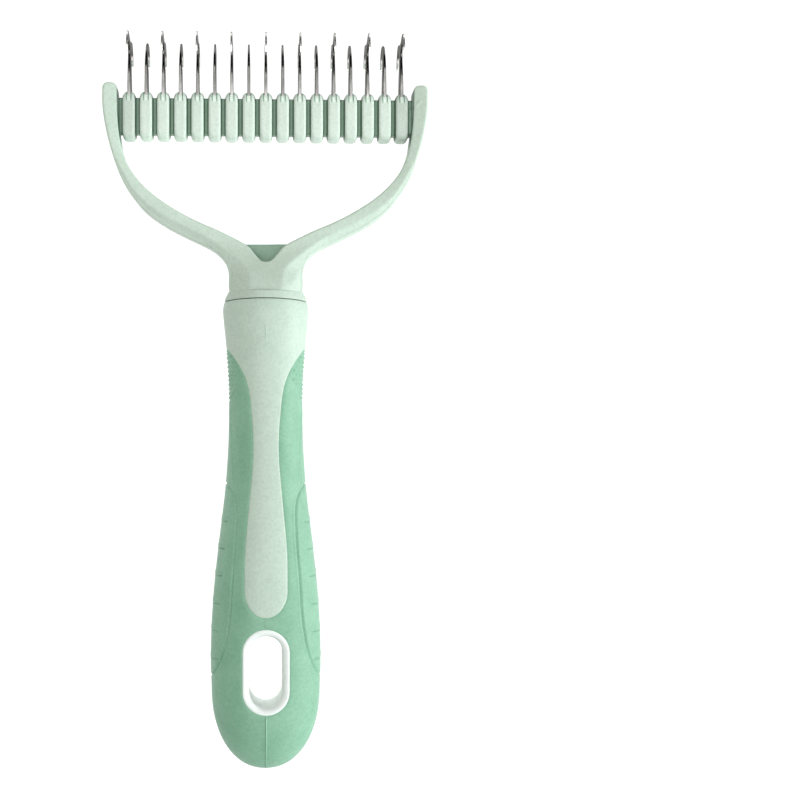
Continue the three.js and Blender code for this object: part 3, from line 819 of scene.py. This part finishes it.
def plate(outline, height, cell, rim, low, high, halve=True):
    """A two-sided plate with rounded edges, its outline in X and Y and its height over the middle.

    With halve it is drawn for x > 0 and mirrored. rim is the radius of the edges.
    """
    columns = int(round((high[0] - low[0]) / cell)) + 1
    rows = int(round((high[1] - low[1]) / cell)) + 1
    across, upward = np.linspace(low[0], high[0], columns), np.linspace(low[1], high[1], rows)
    grid = np.stack(np.meshgrid(across, upward), -1)
    locked = np.zeros((rows, columns), bool)

    def place(flat):
        return np.column_stack([flat, np.zeros(len(flat))])

    def field(points):
        return inside(points[:, :2], outline) - rim

    on_line = snap(grid, place, field, locked)
    flat = grid.reshape(-1, 2)
    faces = grid_faces(rows, columns, on_line)
    middles = centre_of(place(flat), faces)
    flat, faces = compact(flat, faces[field(middles) > 0])
    step = 0.05
    slope = np.stack([inside(flat - offset, outline) - inside(flat + offset, outline)
                      for offset in ([step, 0], [0, step])], 1)
    slope /= np.maximum(np.linalg.norm(slope, axis=1, keepdims=True), 1e-9)
    if halve:
        slope[np.abs(flat[:, 0]) < 1e-6, 0] = 0
    data = np.column_stack([flat, height(flat), slope, np.zeros(len(flat))])
    front = (data, faces)
    if halve:
        front = joined(front, mirrored(front, 0))
    turns = np.linspace(0, math.pi / 2, 6)[1:]
    front = rimmed(front, [(rim * math.sin(t), rim * (1 - math.cos(t))) for t in turns])
    data, faces = front
    a, b = open_edges(faces, len(data))
    corners = np.unique(np.concatenate([a, b]))
    wall = data[corners].copy()
    wall[:, 2] = 0
    at_middle = np.zeros(len(data), int)
    at_middle[corners] = len(data) + np.arange(len(corners))
    side = np.stack([b, a, at_middle[a], at_middle[b]], 1)
    front = (np.vstack([data, wall]), np.vstack([faces, side]))
    return joined(front, mirrored(front, 2))


def yoke_height(flat):
    """Half depth of the yoke: a flat front that thins up the neck, and a bevel outside the crease."""
    x, y = np.abs(flat[:, 0]), flat[:, 1]
    folded = np.column_stack([x, y])
    past = to_line(folded, CREASE_LINE)
    left = np.abs(to_line(folded, OUTER_LINE))
    share = past / (np.abs(past) + left + 0.3)
    bevel = 0.5 * (share + np.sqrt(share ** 2 + 0.05 ** 2))
    reach = np.clip((np.abs(past) + left) / BEVEL_WIDTH, 0, 1)
    depth = 10.95 - 5.5 * fade(y, 138.5, 156) + 1.0 * fade(y, 155, 168) - 0.3 * fade(y, 172, 190)
    depth -= BEVEL_DROP * reach * bevel
    # the arms' flats lean in towards the comb
    depth -= 0.19 * np.clip(-past, 0, 5) * fade(y, 158, 176)
    # at the neck the facets are cut from the round of the collar
    across = np.clip(x / (x + left + 0.35), 0, 1)
    rounded = 11.4 * (1 - across ** SECTION_EXPONENT) ** (1 / SECTION_EXPONENT)
    over = depth - rounded
    trimmed = depth - 0.5 * (over + np.sqrt(over ** 2 + 0.3 ** 2))
    depth += (trimmed - depth) * (1 - fade(y, 141.5, 149))
    # a hairline moulded across the top of each arm
    along, off = (x - 44.7) * 0.7 + (y - 195.6) * 0.7, (y - 195.6) * 0.7 - (x - 44.7) * 0.7
    depth += 0.2 * np.exp(-(off / 0.3) ** 2) * (np.abs(along) < 1.1)
    return depth - 0.5 * fade(y, 199, 204)


OUTER_LINE = spline(OUTER, 8)
CREASE_LINE = spline(CREASE, 8)
INNER_LINE = spline(INNER, 10)


def make_yoke():
    right = np.vstack([OUTER_LINE, INNER_LINE[::-1][1:]])
    left = right[::-1][1:] * [-1, 1]
    outline = np.vstack([right, left])
    arms = plate(outline, yoke_height, YOKE_CELL, RIM, (0, 138.9), (48.6, 202.4))
    web_outline = np.array([[-7.5, 146], [7.5, 146], [7.5, 154.5], [0, 154.35], [-7.5, 154.3]])
    web = plate(web_outline, lambda flat: np.full(len(flat), 1.8), 0.5, 0.45, (-8, 145.5), (8, 155), False)
    turn = np.linspace(0, 2 * math.pi, 161)[:-1]
    ring = np.stack([power(np.cos(turn), SECTION_EXPONENT), np.zeros(160),
                     -power(np.sin(turn), SECTION_EXPONENT)], 1)
    # [y, drawn in at the sides, drawn in at the front]
    edges = [(SEAM + 0.2, 1.6, 1.6), (SEAM + 0.2, 0.3, 0.3), (SEAM + 0.26, 0.12, 0.12),
             (SEAM + 0.4, 0.04, 0.03), (SEAM + 0.7, 0.05, 0.0), (SEAM + 1.2, 0.22, 0.0),
             (BAND_TOP - 1.4, 0.48, 0.0),
             (BAND_TOP - 0.9, 0.74, 0.02), (BAND_TOP - 0.4, 1.0, 0.05), (BAND_TOP - 0.15, 1.12, 0.15),
             (BAND_TOP, 1.22, 0.4), (BAND_TOP + 0.1, 1.5, 1.2)]
    rows = []
    for y, draw_x, draw_z in edges:
        row = ring * [BAND[0] - draw_x, 1, BAND[1] - draw_z] + [0, y, 0]
        row[:, 1] += seam_lift(row[:, 0]) * (1 - fade(y, SEAM + 0.8, BAND_TOP))
        rows.append(row)
    band = capped(rows)
    stem_ends = [(96.0, 4.6, 3.8), (96.6, 5.2, 4.4), (98.0, 5.5, 4.7), (SEAM + 1, 6.1, 5.1)]
    stem = capped([np.column_stack([loop[:, 0], np.full(len(loop), y), -loop[:, 1]])
                   for y, half_x, half_z in stem_ends
                   for loop in [rounded_rectangle(half_x, half_z, 0.7)]])
    build("yoke_moulding", joined(arms, web, band, stem), YOKE_PALE_PAINTED_LIGHT, "pale_shell", "yoke")


# ------------------------------------------------------------------ comb bar

RING_HALF_X = 1.92
RING_ROUND_TOP = 1.85
RING_ROUND_BOTTOM = 1.3
RING_ROUND_Z = 0.8
RING_CORNER = 2.2
NOTCH_HALF_X = 0.78
BAR_END = 43.6
# The notch's floor slopes from the ring's face up and back to where the blade stands, as [z, y].
NOTCH = np.array([[5.6, 194.9], [5.6, 200.5], [3.33, 200.5]])


def corner_lists(faces):
    """Faces as lists of corners, without the repeated ones."""
    return [[v for v, w in zip(f, f[1:] + f[:1]) if v != w] for f in faces.tolist()]


def cut_away(body, cutter):
    """A body with another cut out of it by Blender's boolean."""
    blanks = []
    for data, faces in (joined(body), joined(cutter)):
        mesh = bpy.data.meshes.new("blank")
        mesh.from_pydata(data[:, :3].tolist(), [], corner_lists(faces))
        blanks.append(bpy.data.objects.new("blank", mesh))
        bpy.context.scene.collection.objects.link(blanks[-1])
    change = blanks[0].modifiers.new("cut", "BOOLEAN")
    change.object = blanks[1]
    change.operation = "DIFFERENCE"
    change.solver = "EXACT"
    result = bmesh.new()
    result.from_object(blanks[0], bpy.context.evaluated_depsgraph_get())
    bmesh.ops.triangulate(result, faces=[f for f in result.faces if len(f.verts) > 4])
    data = np.zeros((len(result.verts), 6))
    data[:, :3] = [v.co for v in result.verts]
    corners = [[v.index for v in f.verts] for f in result.faces]
    faces = np.array([c if len(c) == 4 else c + c[-1:] for c in corners])
    result.free()
    for blank in blanks:
        bpy.data.meshes.remove(blank.data)
    return data, faces


def rounding(over, radius):
    """How far a rounded edge of that radius has drawn in, this far into its curve."""
    return radius - math.sqrt(max(radius ** 2 - max(over, 0) ** 2, 0))


def comb_ring():
    """One ring of the comb bar about x = 0, with a notch in front of and behind its blade."""
    edge = np.linspace(0, math.pi / 2, 9)[:-1]
    across = [RING_HALF_X - RING_ROUND_TOP * (1 - math.sin(t)) for t in edge] + [RING_HALF_X]
    across = sorted(set([-x for x in across] + [0.0] + across))
    rows = []
    for x in across:
        inward = RING_HALF_X - abs(x)
        top = RING_HALF_Y - rounding(RING_ROUND_TOP - inward, RING_ROUND_TOP)
        bottom = RING_HALF_Y - rounding(RING_ROUND_BOTTOM - inward, RING_ROUND_BOTTOM)
        half_z = RING_HALF_Z - rounding(RING_ROUND_Z - inward, RING_ROUND_Z)
        loop = rounded_rectangle((top + bottom) / 2, half_z, RING_CORNER, 8)
        ys = BAR_Y + (top - bottom) / 2 + loop[:, 0]
        rows.append(np.column_stack([np.full(len(loop), x), ys, loop[:, 1]]))
    notch = capped([np.column_stack([np.full(3, x), NOTCH[:, 1], NOTCH[:, 0]])
                    for x in (NOTCH_HALF_X, -NOTCH_HALF_X)])
    return cut_away(capped(rows), joined(notch, mirrored(notch, 2)))


def bar_between(start, end, y, section):
    """A bar along X whose section is a rounded rectangle: half height, half depth, corner."""
    loop = rounded_rectangle(*section)
    return capped([np.column_stack([np.full(len(loop), x), y + loop[:, 0], loop[:, 1]])
                   for x in (start, end)])


def make_comb_bar():
    ring = comb_ring()
    parts = []
    for x, _ in BLADES:
        data = ring[0].copy()
        data[:, 0] += x
        parts.append((data, ring[1]))
    core = bar_between(-BAR_END, BAR_END, BAR_Y, (5.3, 2.4, 0.8))
    shoulder = bar_between(41.0, BAR_END, 190.7, (3.7, 3.3, 0.35))
    build("comb_bar_moulding", joined(core, shoulder, *parts), COMB, "comb_shell", "comb_bar")


# ------------------------------------------------------------------ blades

BLADE_CELL = 0.42
BLADE_RIM = 0.07


def front_hook():
    """The inner and outer edge of a hook on the +Z side, as [z, y] from the shank round to the crown."""
    inner = np.vstack([[[4.5, 203.5]], bezier((4.5, 203.5), (4.2, 206), (3.1, 207.4), (3.3, 209.3)),
                       bezier((3.3, 209.3), (3.5, 211.5), (5.2, 212.4), (7.4, 212.4)),
                       bezier((7.4, 212.4), (10.4, 212.4), (12.6, 211.3), (TIP_Z - 0.12, 208.5))])
    outer = np.vstack([[[TIP_Z, 209.9]], bezier((TIP_Z, 209.9), (13.7, 212.8), (12, CROWN), (8.8, CROWN)),
                       bezier((8.8, CROWN), (5.5, CROWN), (3, CROWN - 1.2), (0, CROWN - 1.2))])
    return inner, outer


def blade_outline(is_double):
    """Anticlockwise outline in [z, y]."""
    inner, outer = front_hook()
    back = [outer[::-1] * [-1, 1], inner[::-1] * [-1, 1]]
    root = np.array([[-4.5, 196.6], [-3.5, 195.4], [-3.5, 187.2], [3.5, 187.2], [3.5, 195.4], [4.5, 196.6]])
    if is_double:
        return np.vstack([root, inner, outer[:-1], *back])
    top = CROWN - 0.6
    slope = np.vstack([[[4.5, 203.5]], bezier((4.5, 205.5), (4.4, 210.3), (1, 213.0), (-3.2, 214.2)),
                       bezier((-3.2, 214.2), (-5, top - 0.15), (-7, top), (-8.8, top))])
    crown_back = bezier((-8.8, top), (-12, top), (-13.7, 212.4), (-TIP_Z, 209.0))
    return np.vstack([root, slope, crown_back, back[1]])


def make_blades():
    sheets = {}
    for is_double in (True, False):
        outline = blade_outline(is_double)

        def half_thickness(flat):
            full = BLADE_HALF_X - 0.15 * fade(flat[:, 1], 204, 214)
            ground = np.clip(inside(flat, outline) / 1.3, 0, 1)
            edge = 0.23 + (full - 0.23) * np.sin(ground * math.pi / 2)
            return edge + (full - edge) * (1 - fade(flat[:, 1], 200, 207))

        data, faces = plate(outline, half_thickness, BLADE_CELL, BLADE_RIM, (-14.6, 186.8), (14.6, 215.8),
                            False)
        standing = data.copy()
        standing[:, 0], standing[:, 2] = -data[:, 2], data[:, 0]
        sheets[is_double] = (standing, faces)
    for x, node in BLADES:
        data, faces = sheets[node.startswith("double")]
        moved = data.copy()
        moved[:, 0] += x
        build(node + "_ground", (moved, faces), STEEL, "blade_steel", node, sharp=28.0)


# ------------------------------------------------------------------ stage, light and camera

FLOOR_HALF = 3.0
FLOOR_GREY = 0.25
FLOOR_GLOW = 0.93
WORLD_COLOUR = (0.95, 0.97, 1.0, 1)
WORLD_STRENGTH = 0.05
LIGHT_TARGET = (0, 0, 0.01)
# Softboxes in metres: name, place, size, watts and colour.
LIGHTS = [
    ("graze_right", (1.3, 0, 0.3), (0.9, 0.4), 11.4, (0.94, 0.98, 1.0)),
    ("key_right", (0.9, -0.8, 0.6), (0.7, 0.7), 7.2, (0.93, 0.975, 1.0)),
    ("top", (-0.1, 0, 1.4), (0.8, 0.8), 4.6, (1.0, 1.0, 1.0)),
    ("top_butt", (0.1, -0.5, 1.2), (0.8, 0.5), 4.0, (1.0, 1.0, 1.0)),
    ("top_comb", (0.05, 0.45, 0.9), (0.6, 0.4), 2.2, (1.0, 1.0, 1.0)),
    ("fill_comb", (-0.8, 0.7, 0.8), (0.7, 0.7), 2.4, (1.0, 0.96, 0.88)),
    ("fill_left", (-1.1, 0, 0.8), (0.8, 1.0), 0.8, (1.0, 0.95, 0.87)),
]
LENS_MM = 88.2
SENSOR_MM = 36
VIEW_SHIFT = (0.0432, 0.056)
# The camera hangs over the tool, this far from its butt and from its middle plane.
VIEW_Y = 0.0953
VIEW_DISTANCE = 0.580
EYE_X = -0.004
AIM_X = 0.0295


def make_stage():
    """A plain white floor under the tool."""
    mesh = bpy.data.meshes.new("floor")
    half, z = FLOOR_HALF, cad_low.z
    corners = [(-half, -half, z), (half, -half, z), (half, half, z), (-half, half, z)]
    mesh.from_pydata(corners, [], [(0, 1, 2, 3)])
    floor = bpy.data.objects.new("floor", mesh)
    bpy.context.scene.collection.objects.link(floor)
    material, _, surface = shader("pale_floor", 0.9)
    surface.inputs["Base Color"].default_value = (FLOOR_GREY, FLOOR_GREY, FLOOR_GREY, 1)
    surface.inputs["Specular IOR Level"].default_value = 0.0
    surface.inputs["Emission Color"].default_value = (1, 1, 1, 1)
    surface.inputs["Emission Strength"].default_value = FLOOR_GLOW
    mesh.materials.append(material)


def area_light(name, place, aim, size, power_watts, colour):
    """One softbox, turned towards a point."""
    light = bpy.data.lights.new(name, "AREA")
    light.shape = "RECTANGLE"
    light.size, light.size_y = size
    light.energy = power_watts
    light.color = colour
    lamp = bpy.data.objects.new(name, light)
    lamp.location = place
    lamp.rotation_euler = (Vector(aim) - Vector(place)).to_track_quat("-Z", "Y").to_euler()
    bpy.context.scene.collection.objects.link(lamp)


def make_lights():
    world = bpy.data.worlds.new("studio")
    bpy.context.scene.world = world
    world.use_nodes = True
    background = world.node_tree.nodes["Background"]
    background.inputs["Color"].default_value = WORLD_COLOUR
    background.inputs["Strength"].default_value = WORLD_STRENGTH
    for name, place, size, watts, tint in LIGHTS:
        area_light(name, place, LIGHT_TARGET, size, watts, tint)


def make_camera():
    lens_view = bpy.data.cameras.new("camera")
    lens_view.lens = LENS_MM
    lens_view.sensor_width = SENSOR_MM
    lens_view.clip_start = 0.01
    lens_view.shift_x, lens_view.shift_y = VIEW_SHIFT
    eye = Vector((EYE_X, BUTT_Y + VIEW_Y, MIDDLE_Z + VIEW_DISTANCE))
    aim = Vector((AIM_X, BUTT_Y + VIEW_Y, MIDDLE_Z))
    ahead = (aim - eye).normalized()
    right = ahead.cross(Vector((0, 1, 0))).normalized()
    up = right.cross(ahead)
    camera = bpy.data.objects.new("camera", lens_view)
    turn = Matrix((right, up, -ahead)).transposed().to_4x4()
    camera.matrix_world = Matrix.Translation(eye) @ turn
    scene = bpy.context.scene
    scene.collection.objects.link(camera)
    scene.camera = camera
    scene.view_settings.view_transform = "Standard"


make_camera()
make_handle()
make_yoke()
make_comb_bar()
make_blades()
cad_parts["blade_rod"].data.materials.clear()
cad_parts["blade_rod"].data.materials.append(STEEL)
make_stage()
make_lights()
